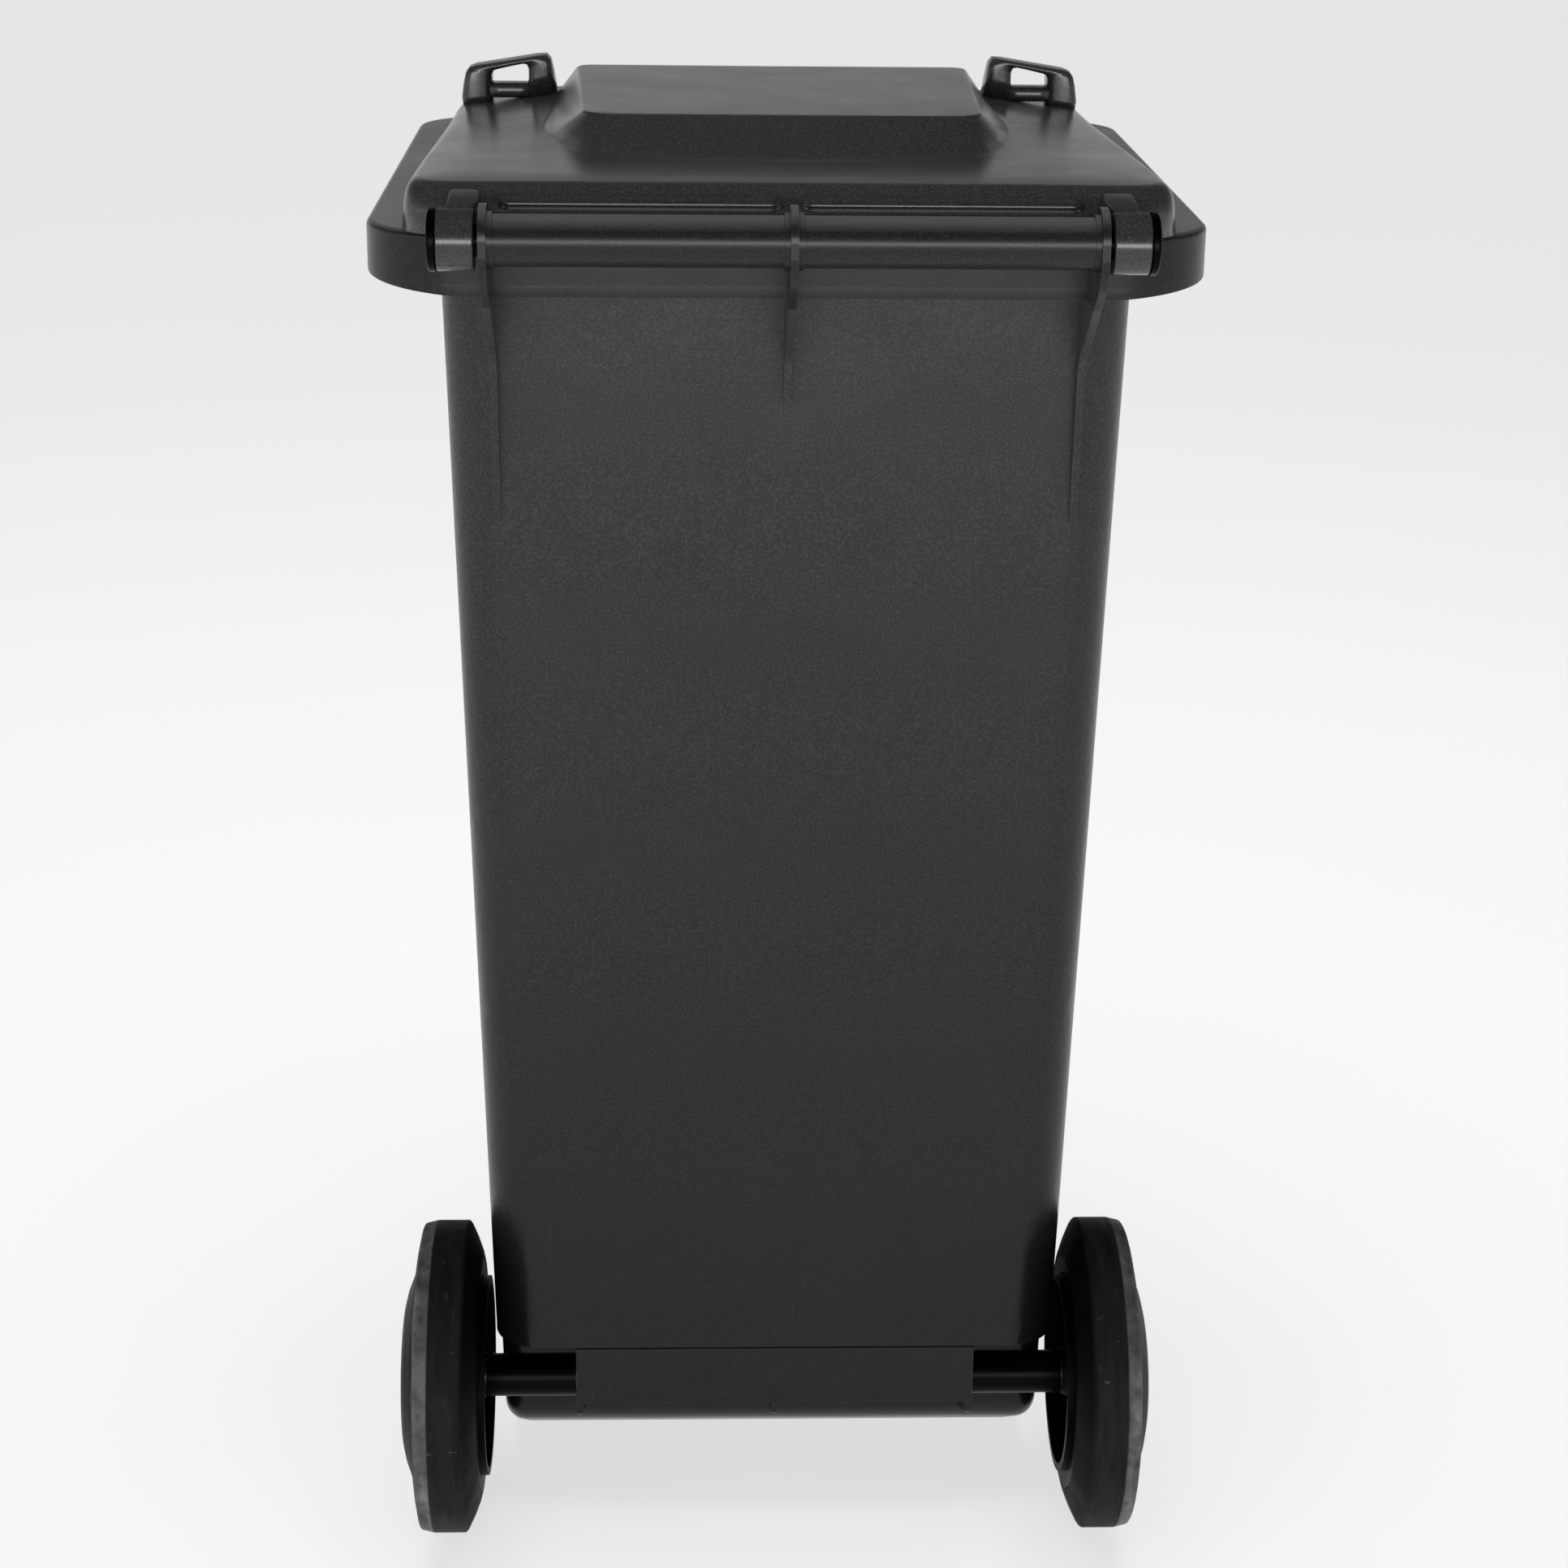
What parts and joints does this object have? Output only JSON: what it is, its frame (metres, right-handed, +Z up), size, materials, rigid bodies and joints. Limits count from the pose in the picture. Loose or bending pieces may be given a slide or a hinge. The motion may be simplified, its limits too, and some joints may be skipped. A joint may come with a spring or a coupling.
{
  "type": "wheelie bin",
  "caption": "Two-wheeled refuse bin with a tapered plastic tub, a hinged lid with a raised crown and finger loops, and a handle bar behind the lid.",
  "frame": {"origin": "on the ground under the middle of the whole bin", "axes": "+Z up, -Y towards the handle and the wheels, +X to the right of someone who stands behind the handle"},
  "size_m": [0.486, 0.555, 0.9154],
  "materials": {
    "body_plastic": "satin, fine grain",
    "lid_plastic": "semi-gloss",
    "black_plastic": "satin",
    "wheel_plastic": "satin, dusty",
    "bush_plastic": "satin",
    "tyre_rubber": "matte, scuffed",
    "zinc_steel": "zinc plated"
  },
  "bodies": {
    "bin": {"body_shell": "body_plastic", "axle_rod": "zinc_steel", "chip_nest_plug": "black_plastic", "hinge_pin_left": "black_plastic", "hinge_pin_right": "black_plastic", "spacer_sleeve_left": "black_plastic", "spacer_sleeve_right": "black_plastic", "thrust_washer_left": "zinc_steel", "thrust_washer_right": "zinc_steel", "lock_ring_left": "zinc_steel", "lock_ring_right": "zinc_steel"},
    "lid": {"lid": "lid_plastic"},
    "wheel_left": {"tyre_left": "tyre_rubber", "wheel_hub_left": "wheel_plastic", "hub_bush_left": "bush_plastic", "hub_cap_left": "wheel_plastic"},
    "wheel_right": {"tyre_right": "tyre_rubber", "wheel_hub_right": "wheel_plastic", "hub_bush_right": "bush_plastic", "hub_cap_right": "wheel_plastic"}
  },
  "joints": [
    {"name": "lid_hinge", "type": "hinge", "parent": "bin", "child": "lid", "pos_m": [0, -0.2601, 0.8688], "axis": [1, 0, 0], "range_deg": [0, 255]},
    {"name": "wheel_left_spin", "type": "hinge", "parent": "bin", "child": "wheel_left", "pos_m": [0, -0.1555, 0.1015], "axis": [1, 0, 0], "continuous": true},
    {"name": "wheel_right_spin", "type": "hinge", "parent": "bin", "child": "wheel_right", "pos_m": [0, -0.1555, 0.1015], "axis": [1, 0, 0], "continuous": true}
  ]
}
